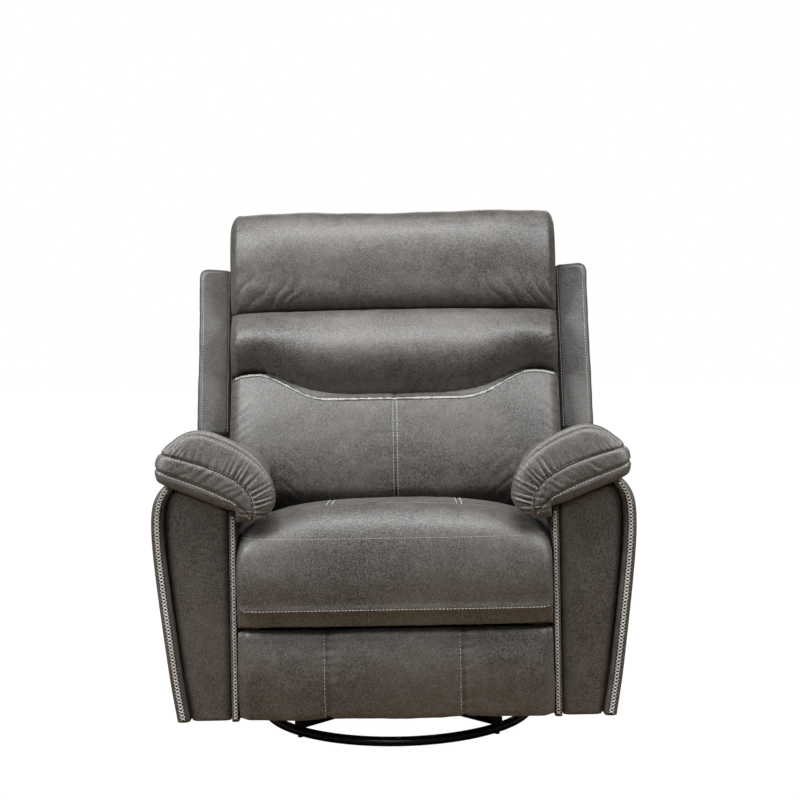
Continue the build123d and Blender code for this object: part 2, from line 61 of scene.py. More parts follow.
def backPlace(co):
    y, z = co.y / mm - hingeY, co.z / mm - hingeZ
    return co.x / mm, z * leanSin - y * leanCos, y * leanSin + z * leanCos


backward = (backPoint(0, -1, 0) - backPoint(0, 0, 0)).normalized()


def point(x, y, z):
    return Vector((x, y, z)) * mm


def smooth(low, high, value):
    t = min(1, max(0, (value - low) / (high - low)))
    return t * t * (3 - 2 * t)


def spline(rows, value):
    last = len(rows) - 1
    i = 0
    while i < last - 1 and value > rows[i + 1][0]:
        i += 1
    (a, p), (b, q) = rows[i], rows[i + 1]
    before, after = rows[max(0, i - 1)], rows[min(last, i + 2)]
    t = min(1, max(0, (value - a) / (b - a)))
    m = (q - before[1]) / (b - before[0]) * (b - a)
    k = (after[1] - p) / (after[0] - a) * (b - a)
    return (
        (2 * t**3 - 3 * t * t + 1) * p
        + (t**3 - 2 * t * t + t) * m
        + (3 * t * t - 2 * t**3) * q
        + (t**3 - t * t) * k
    )


def steps(low, high, count):
    return [low + (high - low) * i / count for i in range(count + 1)]


def wobble(x, y, z, size):
    return noise.fractal(Vector((x, y, z)) / size, 0.8, 2.1, 3)


# A closed outline of (x, y, softness) corners, sampled with fixed counts so that outlines match
def outlineEnds(corners):
    ends = []
    for i, (x, y, soft) in enumerate(corners):
        here = Vector((x, y))
        back = Vector(corners[i - 1][:2]) - here
        ahead = Vector(corners[(i + 1) % len(corners)][:2]) - here
        ends.append(
            (
                here + back * min(0.47, soft / back.length),
                here,
                here + ahead * min(0.47, soft / ahead.length),
            )
        )
    return ends


def outlineCounts(corners, step):
    ends = outlineEnds(corners)
    counts = []
    for i, (a, here, b) in enumerate(ends):
        arc = (a - here).length + (b - here).length
        line = (ends[(i + 1) % len(ends)][0] - b).length
        counts.append((max(2, round(0.85 * arc / step)), max(1, round(line / step))))
    return counts


def outline(corners, counts):
    ends = outlineEnds(corners)
    points = []
    for i, ((a, here, b), (arc, line)) in enumerate(zip(ends, counts)):
        after = ends[(i + 1) % len(ends)][0]
        for k in range(arc):
            t = k / arc
            points.append(a * (1 - t) ** 2 + here * 2 * t * (1 - t) + b * t * t)
        for k in range(line):
            points.append(b.lerp(after, k / line))
    return points


def loft(rings):
    bm = bmesh.new()
    current = bmesh.ops.create_circle(bm, segments=len(rings[0]), radius=1)["verts"]
    edges = list(bm.edges)
    bmesh.ops.edgeloop_fill(bm, edges=edges)
    for vert, place in zip(current, rings[0]):
        vert.co = place
    for ring in rings[1:]:
        made = bmesh.ops.extrude_edge_only(bm, edges=edges)["geom"]
        order = {vert: i for i, vert in enumerate(current)}
        fresh = [None] * len(current)
        for vert in [g for g in made if isinstance(g, bmesh.types.BMVert)]:
            for edge in vert.link_edges:
                other = edge.other_vert(vert)
                if other in order:
                    fresh[order[other]] = vert
        edges = [g for g in made if isinstance(g, bmesh.types.BMEdge) and g.is_boundary]
        current = fresh
        for vert, place in zip(current, ring):
            vert.co = place
    bmesh.ops.edgeloop_fill(bm, edges=edges)
    bmesh.ops.recalc_face_normals(bm, faces=bm.faces)
    return bm


capFactors = (0.985, 0.95, 0.88, 0.76, 0.6, 0.4, 0.2, 0.04)


# Smaller and smaller copies of an end ring, so that the flat end has even faces
def capped(ring, centre=None):
    centre = centre or sum(ring, Vector()) / len(ring)
    return [[centre + (p - centre) * f for p in ring] for f in capFactors]


def closed(rings):
    return capped(rings[0])[::-1] + rings + capped(rings[-1])


def press(bm, depth):
    bm.normal_update()
    moves = [(vert, vert.normal * depth(vert.co) * mm) for vert in bm.verts]
    for vert, move in moves:
        vert.co += move


def finished(bm, name, body, nodes, material):
    mesh = bpy.data.meshes.new(name)
    bm.to_mesh(mesh)
    bm.free()
    mesh.polygons.foreach_set("use_smooth", [True] * len(mesh.polygons))
    mesh.materials.append(material)
    obj = bpy.data.objects.new(name, mesh)
    scene.collection.objects.link(obj)
    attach(obj, body)
    if nodes:
        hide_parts(*nodes)
    return obj


# Shader maths: a socket with operators
class Sock:
    def __init__(self, tree, out=None):
        self.tree, self.out = tree, out

    def node(self, kind, settings, inputs, output=0):
        made = self.tree.nodes.new(kind)
        for key, value in settings.items():
            setattr(made, key, value)
        for key, value in inputs.items():
            if isinstance(value, Sock):
                self.tree.links.new(value.out, made.inputs[key])
            else:
                made.inputs[key].default_value = value
        return Sock(self.tree, made.outputs[output])

    def sums(self, operation, a, b):
        return self.node("ShaderNodeMath", {"operation": operation}, {0: a, 1: b})

    def __add__(self, b):
        return self.sums("ADD", self, b)

    def __radd__(self, b):
        return self.sums("ADD", b, self)

    def __mul__(self, b):
        return self.sums("MULTIPLY", self, b)

    def __rmul__(self, b):
        return self.sums("MULTIPLY", b, self)

    def noise(self, size, detail, rough):
        place = self.node("ShaderNodeTexCoord", {}, {}, 3)
        return self.node(
            "ShaderNodeTexNoise",
            {},
            {"Vector": place, "Scale": 1000 / size, "Detail": detail, "Roughness": rough},
        )

    def ramp(self, low, high):
        return self.node(
            "ShaderNodeMapRange",
            {"interpolation_type": "SMOOTHSTEP"},
            {0: self, 1: low, 2: high, 3: 0.0, 4: 1.0},
        )

    def mix(self, a, b):
        return self.node("ShaderNodeMix", {"data_type": "RGBA"}, {0: self, 6: a, 7: b}, 2)

    def bump(self, strength, distance):
        return self.node(
            "ShaderNodeBump", {}, {"Height": self, "Strength": strength, "Distance": distance * mm}
        )


def material(name, **constants):
    made = bpy.data.materials.new(name)
    made.use_nodes = True
    shader = made.node_tree.nodes["Principled BSDF"]
    for key, value in constants.items():
        shader.inputs[key.replace("_", " ")].default_value = value
    return made, Sock(made.node_tree), shader


def feed(start, shader, **sockets):
    for key, value in sockets.items():
        start.tree.links.new(value.out, shader.inputs[key.replace("_", " ")])


def clothMaterial(name, dark, light):
    made, start, shader = material(
        name,
        Specular_IOR_Level=0.62,
        Sheen_Weight=0.04,
        Sheen_Roughness=0.4,
        Sheen_Tint=(0.9, 0.92, 0.95, 1),
    )
    cloud = start.noise(190, 3.0, 0.55)
    blot = start.noise(22, 5.0, 0.65)
    fleck = start.noise(3.0, 3.0, 0.7)
    pore = start.noise(1.6, 2.0, 0.6)
    shade = cloud.ramp(0.3, 0.7) * 0.4 + blot.ramp(0.3, 0.7) * 0.6
    base = shade.mix(dark + (1,), light + (1,))
    density = 0.5 + 0.5 * cloud.ramp(0.62, 0.35)
    specks = fleck.ramp(0.47, 0.57) * density
    pale = pore.ramp(0.52, 0.64) * 0.85
    paleTone = tuple(1.9 * c for c in light) + (1,)
    speckTone = tuple(0.12 * c for c in dark) + (1,)
    worn = specks.mix(pale.mix(base, paleTone), speckTone)
    rough = 0.45 + 0.08 * blot.ramp(0.3, 0.7) + 0.12 * fleck
    height = 0.9 * fleck + 0.4 * pore + 0.2 * blot
    feed(start, shader, Base_Color=worn, Roughness=rough, Normal=height.bump(0.42, 0.6))
    return made


def coatMaterial(name, colour, second, roughness, grainSize, relief, metallic=0.0):
    made, start, shader = material(name, Metallic=metallic)
    grain = start.noise(grainSize, 4.0, 0.6)
    broad = start.noise(60, 2.0, 0.5)
    shade = grain.ramp(0.35, 0.7) * 0.6 + broad.ramp(0.3, 0.7) * 0.4
    feed(
        start,
        shader,
        Base_Color=shade.mix(colour + (1,), second + (1,)),
        Roughness=(roughness - 0.05) + 0.12 * grain,
        Normal=grain.bump(relief, 0.3),
    )
    return made


def woodMaterial(name):
    made, start, shader = material(name)
    place = start.node("ShaderNodeTexCoord", {}, {}, 3)
    stretched = start.node(
        "ShaderNodeVectorMath", {"operation": "MULTIPLY"}, {0: place, 1: (8, 60, 60)}
    )
    grain = start.node("ShaderNodeTexNoise", {}, {"Vector": stretched, "Scale": 1.0, "Detail": 5.0})
    tone = grain.ramp(0.3, 0.7).mix((0.018, 0.013, 0.009, 1), (0.045, 0.033, 0.023, 1))
    feed(
        start,
        shader,
        Base_Color=tone,
        Roughness=0.55 + 0.15 * grain,
        Normal=grain.bump(0.15, 0.4),
    )
    return made


cloth = clothMaterial("taupe upholstery", (0.027, 0.0223, 0.0185), (0.065, 0.0572, 0.0503))
# Painted shade: a darker copy of the upholstery for the wings, standing in for the shade they sit
# in beside the cushions
shadedWingCloth = clothMaterial(
    "taupe upholstery, painted shade", (0.0195, 0.0161, 0.0133), (0.046, 0.0405, 0.0356)
)
thread = coatMaterial("pale thread", (0.2, 0.196, 0.185), (0.33, 0.322, 0.306), 0.6, 0.8, 0.3)
# Painted shade: near-black colour of the strips under the lacing, standing in for the lacing's
# shadow
laceShade = coatMaterial("painted lace shade", (0.009, 0.008, 0.007), (0.018, 0.016, 0.014), 0.6, 2, 0.2)
lace = coatMaterial("silver lacing", (0.46, 0.45, 0.43), (0.64, 0.63, 0.60), 0.6, 0.8, 0.3)
carried = {
    "ring_paint": coatMaterial(
        "gloss black paint", (0.008, 0.008, 0.009), (0.014, 0.014, 0.015), 0.24, 3, 0.02
    ),
    "nylon": coatMaterial("black nylon", (0.02, 0.02, 0.02), (0.03, 0.03, 0.03), 0.5, 2, 0.05),
    "deck_paint": coatMaterial(
        "satin black paint", (0.012, 0.012, 0.012), (0.024, 0.023, 0.022), 0.42, 4, 0.06
    ),
    "fastener_steel": coatMaterial(
        "zinc plated steel", (0.52, 0.52, 0.5), (0.66, 0.66, 0.63), 0.36, 3, 0.05, 1.0
    ),
    "mechanism_steel": coatMaterial(
        "black oxide steel", (0.035, 0.034, 0.034), (0.06, 0.058, 0.056), 0.42, 4, 0.06, 0.8
    ),
    "spring_wire": coatMaterial(
        "oiled spring wire", (0.2, 0.2, 0.2), (0.32, 0.31, 0.3), 0.34, 3, 0.05, 1.0
    ),
    "frame_wood": woodMaterial("dark stained plywood"),
    "release_plastic": coatMaterial(
        "black moulded plastic", (0.014, 0.014, 0.014), (0.024, 0.024, 0.024), 0.45, 1.2, 0.12
    ),
    "upholstery": cloth,
}
for row in frame["record"]["subparts"]:
    node = frame["nodes"][row["node"]]
    node.data.materials.clear()
    node.data.materials.append(carried[row["material_slot"]])
print("stage: carried nodes painted")


def cushion(bm, name, body, nodes, cover=cloth):
    return finished(bm, name, body, nodes, cover)


# Sections across the back, closer together towards both ends
def acrossBack(rows, piece):
    half, counts = piece["half"], outlineCounts(rows(0), piece["step"])
    shares = steps(-1, 1, piece["rings"])
    places = [half * sin(pi / 2 * t) * 0.35 + half * t * 0.65 for t in shares]
    return [[backPoint(x, n, w) for n, w in outline(rows(x), counts)] for x in places]


# How far a back cushion falls away towards its ends
def endFall(x, half, last):
    return 14 * (x / half) ** 2 + last * (x / half) ** 6


# Sharp valleys between round ridges, as cloth drawn up by a seam
def creases(along, pitch, seed):
    turn = along / pitch + 0.45 * noise.noise(Vector((along / 31, seed, 0)))
    depth = 0.65 + 0.6 * noise.noise(Vector((along / 13, seed + 3.1, 0.7)))
    return (abs(sin(pi * turn)) ** 0.6 - 0.62) * depth


def gathers(along, away, reach, pitch, seed):
    wave = sin(2 * pi * along / pitch + 2.6 * noise.noise(Vector((along / 37, seed, 0))))
    patch = 0.55 + 0.45 * noise.noise(Vector((along / 24, seed + 5.5, 1.3)))
    return wave * patch * exp(-((away / reach) ** 1.4))


# Creases beside the sewn end of a cushion
def endPuckers(depth, side, along, pitch, seed, reach):
    near = exp(-((side / reach) ** 1.6))
    return depth * smooth(0, 8, side) * creases(along, pitch, seed) * near


# Headrest roll: drawn in at both ends, where its side panel is sewn on
headrest = {
    "half": 379,
    "rings": 170,
    "step": 3.6,
    "low": 580,
    "high": 811,
    "capCentre": (70, 786),
}


def headRows(x):
    half, low = headrest["half"], headrest["low"]
    e = smooth(half - 22, half, abs(x)) ** 1.8
    t = min(1, max(0, abs(x) - (half - 20)) / 20)
    c = 20 * (1 - sqrt(1 - t * t))
    bow = endFall(x, 377, 26)
    uneven = 2.5 * noise.noise(Vector((x / 95, 4.2, 0)))
    high = headrest["high"] - 7 * exp(-((x / 170) ** 2)) + uneven
    return [
        (29.5, low + 2 + 0.4 * c, 5),
        (126 - bow - 20 * e, low - 2 + 0.5 * c, 58),
        (174 - bow - 26 * e, low + 0.66 * (high - low), 70),
        (126 - 0.8 * bow - 14 * e, high + 10 - c, 52),
        (-24, high - 1 - c, 16),
        (-24, 771, 3),
        (29.5, 771, 3),
    ]


def headRelief(co):
    x, n, w = backPlace(co)
    side = headrest["half"] - abs(x)
    hand = 1 if x > 0 else -1
    value = 0
    if n > 30 and side > 0.5:
        drop = w - headrest["low"]
        puckers = endPuckers(3.4, side, w - 0.7 * side, 13, 3 * hand, 26)
        value += puckers * smooth(60, 140, drop)
        slant = side - 0.9 * drop + 26 * noise.noise(Vector((side / 60, drop / 60, hand)))
        folds = creases(slant, 37, 6 + hand) * smooth(230, 110, side)
        folds = folds * smooth(0, 14, drop) * smooth(95, 25, drop)
        value += 6.0 * folds * smooth(0, 10, side)
        value += 1.4 * gathers(x, max(0, drop), 30, 29, 5) * smooth(120, 220, side)
        value += 1.7 * wobble(x, w, 7, 150) + 0.5 * wobble(x, w, 2, 36)
    return value


headRings = acrossBack(headRows, headrest)
headStart, headEnd = [
    capped(headRings[i], backPoint(hand * headrest["half"], *headrest["capCentre"]))
    for i, hand in ((0, -1), (-1, 1))
]
headBm = loft(headStart[::-1] + headRings + headEnd)
press(headBm, headRelief)
cushion(headBm, "headrest", "back", ["headrest_cushion"])
print("stage: headrest")

# Shoulder roll and lumbar panel meet in a seam that rises towards both sides
waveSeam = {"low": 371, "rise": 64, "start": 132, "end": 316}


def waveHeight(x):
    rise = smooth(waveSeam["start"], waveSeam["end"], abs(x)) ** 1.5
    return waveSeam["low"] + waveSeam["rise"] * rise - 5 * smooth(334, 374, abs(x))


shoulder = {"half": 376, "rings": 170, "step": 3.6, "high": 578}


def shoulderRows(x):
    half, low, high = shoulder["half"], waveHeight(x), shoulder["high"]
    e = smooth(half - 21, half, abs(x)) ** 1.8
    bow = endFall(x, half, 26)
    return [
        (29.5, low + 3, 4),
        (100 + 10 * smooth(150, waveSeam["end"], abs(x)) - bow - 10 * e, low + 1, 22),
        (162 - bow - 24 * e, low + 0.36 * (high - low), 48),
        (165 - bow - 24 * e, low + 0.62 * (high - low), 60),
        (116 - bow - 14 * e, high + 3, 36),
        (29.5, high, 5),
    ]


def shoulderRelief(co):
    x, n, w = backPlace(co)
    side = shoulder["half"] - abs(x)
    if n < 30 or side < 0.5:
        return 0
    hand = 1 if x > 0 else -1
    up = w - waveHeight(x)
    value = endPuckers(3.0, side, w + 0.5 * side, 15, 9 * hand, 27)
    value += 1.6 * gathers(x - 0.5 * hand * up, max(0, up), 30, 24, 4)
    value += 1.4 * wobble(x, w, 17, 150) + 0.4 * wobble(x, w, 21, 38)
    return value


shoulderBm = loft(closed(acrossBack(shoulderRows, shoulder)))
press(shoulderBm, shoulderRelief)
cushion(shoulderBm, "shoulder_roll", "back", ["shoulder_cushion"])

lumbar = {
    "low": 112,
    "half": 287,
    "wide": 376,
    "front": 139,
    "rear": 29.5,
    "fullest": 0.64,
    "rings": 84,
    "edge": 26,
}
arm = {
    "inner": 297,
    "innerTop": 498,
    "rise": 58,
    "span": 149,
    "floor": 100,
    "front": -437,
    "rear": 268,
}


# The arm's top slopes up from its inner edge
def armTop(x):
    return arm["innerTop"] + arm["rise"] * max(0, x - arm["inner"]) / arm["span"]


# Lower edge of the lumbar panel: between the arms, then over their tops, also when reclined
def lumbarLow(x, n):
    over = (armTop(abs(x)) + 12 - 8 * smooth(40, 95, n) - hingeZ - leanSin * n) / leanCos
    over = max(over, 246 + 0.36 * (abs(x) - arm["inner"]))
    return lumbar["low"] + (over - lumbar["low"]) * smooth(284, 298, abs(x))


def lumbarRing(c):
    half, rear, fullest = lumbar["wide"], lumbar["rear"], lumbar["fullest"]
    profile = [(-half, n) for n in steps(rear, 66, 10)]
    for x in steps(-half, half, 188):
        low = lumbarLow(x, 96)
        level = low + c * (waveHeight(x) - low)
        reach = lumbar["half"] + (half - lumbar["half"]) * smooth(120, 200, level)
        edge = lumbar["edge"] + 22 * smooth(230, 170, level)
        over = min(1, max(0, abs(x) - (reach - edge)) / edge)
        up = (level - lumbar["low"]) / (waveSeam["low"] - lumbar["low"])
        bulge = 27 if up > fullest else 46
        front = lumbar["front"] - bulge * ((up - fullest) / fullest) ** 2
        front = front - 10 * smooth(0.97, 1, c) - 24 * smooth(0.24, 0, up) ** 1.5
        front = front - endFall(x, half, 24) - edge * (1 - sqrt(1 - over * over))
        profile.append((x, front))
    profile += [(half, n) for n in steps(66, rear, 10)]
    profile += [(x, rear) for x in steps(half, -half, 90)[1:-1]]
    ring = []
    for x, n in profile:
        low = lumbarLow(x, n)
        ring.append(backPoint(x, n, low + c * (waveHeight(x) - 1 - low)))
    return ring


def lumbarRelief(co):
    x, n, w = backPlace(co)
    if n < 31:
        return 0
    down = waveHeight(x) - w
    value = -4.4 * exp(-((x / 3.4) ** 2)) + 1.2 * (1 - exp(-((x / 40) ** 2)))
    value += 0.3 * gathers(w, max(0, abs(x) - 6), 22, 17, 6)
    side = max(0, lumbar["wide"] - abs(x))
    hand = 1 if x > 0 else -1
    puckers = endPuckers(3.2, side, w - 0.6 * side, 23, 13 * hand, 34)
    value += puckers * smooth(0, 30, down)
    besideArm = smooth(96, 130, side) * smooth(190, 130, side) * smooth(300, 180, w)
    value += 2.6 * creases(w + 0.8 * side, 31, 17 * hand) * besideArm
    value += 0.8 * gathers(x, max(0, down - 8), 20, 21, 2)
    value += 1.4 * wobble(x, w, 31, 150) + 0.4 * wobble(x, w, 35, 40)
    return value


lumbarBm = loft(closed([lumbarRing(c) for c in steps(0, 1, lumbar["rings"])]))
press(lumbarBm, lumbarRelief)
lumbarObj = cushion(lumbarBm, "lumbar_panel", "back", ["lumbar_cushion"])
print("stage: back cushions")

# Wings beside the back, with a rounded front edge
wing = {
    "inner": 381,
    "outer": 454,
    "low": 297,
    "high": 694,
    "rear": -55,
    "front": 70,
    "fall": 26,
    "step": 7,
}


def wingRings(hand):
    corners = [
        (wing["inner"], wing["low"], 10),
        (wing["outer"], wing["low"], 14),
        (wing["outer"], wing["high"], 24),
        (wing["inner"], wing["high"], 12),
    ]
    counts = outlineCounts(corners, wing["step"])
    base = outline(corners, counts)
    rings = []
    centre = Vector(((wing["inner"] + wing["outer"]) / 2, (wing["low"] + wing["high"]) / 2))
    for n in steps(wing["rear"], wing["front"], 26):
        edge = smooth(wing["front"] - 16, wing["front"], n)
        inset = 9 * (1 - sqrt(max(0, 1 - edge * edge)))
        ring = []
        for p in base:
            shift = Vector(
                (inset if p.x < centre.x else -inset, inset if p.y < centre.y else -inset)
            )
            x = p.x + shift.x * min(1, abs(p.x - centre.x) / 20)
            w = p.y + shift.y * min(1, abs(p.y - centre.y) / 180)
            share = wing["fall"] * (wing["outer"] - x) / (wing["outer"] - wing["inner"])
            ring.append(backPoint(hand * x, n - share * smooth(-10, 60, n), w))
        rings.append(ring)
    return rings


def wingRelief(co):
    x, n, w = backPlace(co)
    return 1.4 * wobble(x, w, n, 90) + 0.4 * wobble(x, w, n, 26)


wingObjs = {}
for side, hand in sides:
    wingBm = loft(closed(wingRings(hand)))
    press(wingBm, wingRelief)
    # The wings take the darker copy of the upholstery, which is painted shade
    wingObjs[side] = cushion(
        wingBm, f"soft_wing_{side}", "back", [f"wing_{side}"], shadedWingCloth
    )

# Strips of cover over both sides of the back frame
wrap = {"inner": 376, "outer": 384.4, "rear": -27, "front": 31.5, "low": 264, "high": 770}
for side, hand in sides:
    corners = [
        (wrap["inner"], wrap["rear"], 2),
        (wrap["outer"], wrap["rear"], 3),
        (wrap["outer"], wrap["front"], 3),
        (wrap["inner"], wrap["front"], 2),
    ]
    section = outline(corners, outlineCounts(corners, 6))
    levels = steps(wrap["low"], wrap["high"], 70)
    rings = [[backPoint(hand * p.x, p.y, w) for p in section] for w in levels]
    cushion(loft(closed(rings)), f"back_side_{side}", "back", [])

# Outer back, a shallow padded panel
backPanel = {
    "low": 50,
    "step": 300,
    "high": 790,
    "middle": 470,
    "lowHalf": 261,
    "half": 381,
    "front": -25.3,
    "rear": -60,
    "round": 13,
    "crown": 8,
}


def backPanelRings():
    a, b = backPanel["lowHalf"], backPanel["half"]
    corners = [
        (-a, backPanel["low"], 16),
        (a, backPanel["low"], 16),
        (a, backPanel["step"], 6),
        (b, backPanel["step"], 16),
        (b, backPanel["high"], 26),
        (-b, backPanel["high"], 26),
        (-b, backPanel["step"], 16),
        (-a, backPanel["step"], 6),
    ]
    base = outline(corners, outlineCounts(corners, 9))
    rings = [[backPoint(p.x, backPanel["front"] - 0.2 * i, p.y) for p in base] for i in (0, 1)]
    for t in steps(0, 1, 8)[1:]:
        n = backPanel["front"] - 22 * t
        rings.append([backPoint(p.x, n, p.y) for p in base])
    middle, edge = backPanel["middle"], backPanel["round"]
    for t in steps(0, 1, 6)[1:]:
        n = backPanel["rear"] + edge - edge * sin(t * pi / 2)
        pull = 1 - 0.03 * (1 - cos(t * pi / 2))
        rings.append([backPoint(p.x * pull, n, middle + (p.y - middle) * pull) for p in base])
    return rings


def backPanelCap(ring):
    rings, middle = [], backPanel["middle"]
    for f in (0.99, 0.97, 0.94, 0.9, 0.84, 0.76, 0.66, 0.54, 0.4, 0.26, 0.12, 0.03):
        crown = backPanel["crown"] * (1 - f * f)
        made = []
        for p in ring:
            x, n, w = backPlace(p)
            made.append(backPoint(x * f, n - crown, middle + (w - middle) * f))
        rings.append(made)
    return rings


panelRings = backPanelRings()
panelBm = loft(capped(panelRings[0])[::-1] + panelRings + backPanelCap(panelRings[-1]))
cushion(panelBm, "outer_back", "back", ["back_panel"])
print("stage: wings and outer back")

# Seat: front roll with a long front face, and the sitting panel sewn on behind the roll
seat = {"half": 295.5, "rings": 150, "step": 4.5, "crest": -356, "panel": 126}
seatDrop = ((0, 0), (120, 4), (200, 14), (250, 28), (276, 40), (288, 52), (295.5, 68))
seatPull = ((0, 0), (120, 0), (250, 1), (276, 4), (288, 8), (293, 13), (295.5, 20))


def seatRows(x):
    drop = spline(seatDrop, abs(x))
    pull = spline(seatPull, abs(x))
    return [
        (105, 304.5, 4),
        (105, 432 - 0.6 * drop, 20),
        (-75, 462 - 0.8 * drop, 80),
        (-235, 489 - drop, 60),
        (-330, 491 - drop, 30),
        (-404 + 0.6 * pull, 503 - drop, 74),
        (-460 + pull, 464 - 0.7 * drop, 56),
        (-476 + pull, 376, 70),
        (-470 + pull, 308, 8),
        (-462 + pull, 277, 6),
        (-387, 277, 3),
        (-387, 304.5, 3),
    ]


def seatSeam(x):
    return 308 + 6 * smooth(272, 295, abs(x)) ** 2


def seatCrest(x):
    return seat["crest"] + 10 * (x / 250) ** 2


def seatRelief(co):
    x, y, z = co / mm
    if y > -388 and z < 306:
        return 0
    value = 0
    if y < -440 and z < 400:
        front = smooth(295, 284, abs(x))
        above = z - seatSeam(x)
        value += front * (2.4 * exp(-(((above - 5) / 6) ** 2)) - 3.2 * smooth(3, -3, above))
        value += 0.7 * gathers(x, max(0, above), 18, 19, 4)
    if z > 400 and y > -430:
        behind = y - seatCrest(x)
        inside = smooth(288, 262, abs(x))
        swell = 3.5 * smooth(3, 16, behind) * smooth(90, 30, behind)
        value -= inside * (9 * exp(-((behind / 5.5) ** 2)) - swell)
        value -= 3.2 * exp(-(((abs(x) - seat["panel"]) / 3.5) ** 2)) * smooth(-2, 4, behind)
    value += 1.3 * wobble(x, y, z, 150) + 0.4 * wobble(x, y, z, 38)
    return value


# Sections across the seat or the footrest, closer together towards both ends
def acrossSeat(rows, piece):
    half, counts = piece["half"], outlineCounts(rows(0), piece["step"])
    places = [half * (0.4 * sin(pi / 2 * t) + 0.6 * t) for t in steps(-1, 1, piece["rings"])]
    return [[point(x, y, z) for y, z in outline(rows(x), counts)] for x in places]


seatBm = loft(closed(acrossSeat(seatRows, seat)))
press(seatBm, seatRelief)
seatObj = cushion(seatBm, "soft_seat", "seat", ["seat_cushion"])

# Footrest pad with two sewn channels
footrest = {"half": 294, "rings": 130, "step": 4, "channel": 127}


def footRows(x):
    e = smooth(footrest["half"] - 22, footrest["half"], abs(x)) ** 1.5
    return [
        (-424.3, 106, 3),
        (-452 + 14 * e, 105 + 3 * e, 12),
        (-466 + 18 * e, 196, 62),
        (-452 + 14 * e, 269 - 3 * e, 10),
        (-424.3, 269 - 3 * e, 2),
    ]


def footRelief(co):
    x, y, z = co / mm
    if y > -427:
        return 0
    groove = abs(abs(x) - footrest["channel"])
    value = -5.0 * exp(-((groove / 3.6) ** 2)) + 2.2 * (1 - exp(-((groove / 45) ** 2)))
    value += 1.0 * gathers(z, groove, 18, 16, 2 if x > 0 else 8)
    value += 1.8 * wobble(x, y, z, 110) + 0.5 * wobble(x, y, z, 32)
    return value


footBm = loft(closed(acrossSeat(footRows, footrest)))
press(footBm, footRelief)
footObj = cushion(footBm, "soft_footrest", "footrest", ["footrest_pad"])
print("stage: seat and footrest")

# Arm pillow: rolls over the arm's inner edge, with a sewn band round its front end
pillow = {
    "front": -440,
    "bulge": 28,
    "full": 40,
    "rear": 104,
    "step": 1.8,
    "ridgeOut": (441, 566),
    "ridgeIn": (247, 494),
}
pillowCorners = [
    (443, 559, 5),
    (296.5, 499, 4),
    (296.5, 477, 5),
    (248, 474, 24),
    (213, 512, 40),
    (238, 586, 50),
    (306, 635, 60),
    (376, 657, 55),
    (442, 607, 38),
    (447, 576, 14),
]
pillowBase = outline(pillowCorners, outlineCounts(pillowCorners, pillow["step"]))

# Shares of the front section's height and of the lobe over the arm's inner edge, along y
pillowHeight = ((-440, 1.0), (-405, 0.96), (-300, 0.76), (-100, 0.56), (104, 0.36))
pillowLobe = ((-440, 1.0), (-405, 0.95), (-300, 0.71), (-150, 0.48), (0, 0.34), (104, 0.27))


def pillowPoint(p, y, size, hand):
    base = armTop(p.x) + 1
    z = p.y if p.y < base else base + (p.y - base) * spline(pillowHeight, y) * size
    edge = arm["inner"]
    x = edge + (p.x - edge) * (1 - 0.4 * (1 - size))
    if x < edge:
        x = edge - (edge - x) * spline(pillowLobe, y)
    return point(hand * x, y, z)


# Front end of the pillow, drawn together towards a ridge
def domePoint(p, f, out, hand):
    heel, inner = Vector(pillow["ridgeOut"]), Vector(pillow["ridgeIn"])
    span = inner - heel
    s = min(0.93, max(0.07, (p - heel).dot(span) / span.length_squared))
    ridge = heel + span * s
    q = ridge + (p - ridge) * f
    hang = 18 * f * out / pillow["bulge"] * smooth(12, -24, (p - ridge).y)
    hang = hang * smooth(275, 325, p.x)
    return point(hand * q.x, pillow["front"] - out, q.y - hang)


def pillowRings(hand):
    rings = []
    for t in steps(1, 0, 60):
        angle = t * pi / 2
        f = max(0.012, cos(angle))
        rings.append([domePoint(p, f, pillow["bulge"] * sin(angle), hand) for p in pillowBase])
    front, full, rear = pillow["front"], pillow["full"], pillow["rear"]
    for t in steps(0, 1, 84)[1:]:
        y = front + (full - front) * t**1.3
        rings.append([pillowPoint(p, y, 1, hand) for p in pillowBase])
    for t in steps(0, 1, 12)[1:]:
        y = full + (rear - full) * sin(t * pi / 2)
        size = 1 - 0.35 * (1 - cos(t * pi / 2))
        rings.append([pillowPoint(p, y, size, hand) for p in pillowBase])
    return rings


# Seams round the pillow's front end, as (x, z)
pillowUpper = [
    Vector(p)
    for p in (
        (446, 610), (432, 606), (398, 598), (362, 587), (330, 575), (302, 561),
        (284, 549), (272, 536), (264, 519), (260, 500), (262, 484), (267, 472),
    )
]
pillowLower = [
    Vector(p)
    for p in (
        (449, 582), (438, 577), (402, 563), (367, 550),
        (330, 534), (298, 518), (280, 503), (266, 486),
    )
]


def seamPoints(seam, count):
    spans = [(b - a).length for a, b in zip(seam, seam[1:])]
    total, points = sum(spans), []
    for i in range(count + 1):
        left = total * i / count
        for (a, b), span in zip(zip(seam, seam[1:]), spans):
            if left <= span + 1e-6:
                points.append(a.lerp(b, min(1, left / span)))
                break
            left -= span
    return points


def seamReach(seam, spot):
    best = (1e9, 0, 0)
    run = 0
    for a, b in zip(seam, seam[1:]):
        d = b - a
        t = min(1, max(0, (spot - a).dot(d) / d.length_squared))
        away = spot - (a + d * t)
        if away.length < best[0]:
            best = (away.length, run + t * d.length, away.y)
        run += d.length
    return best


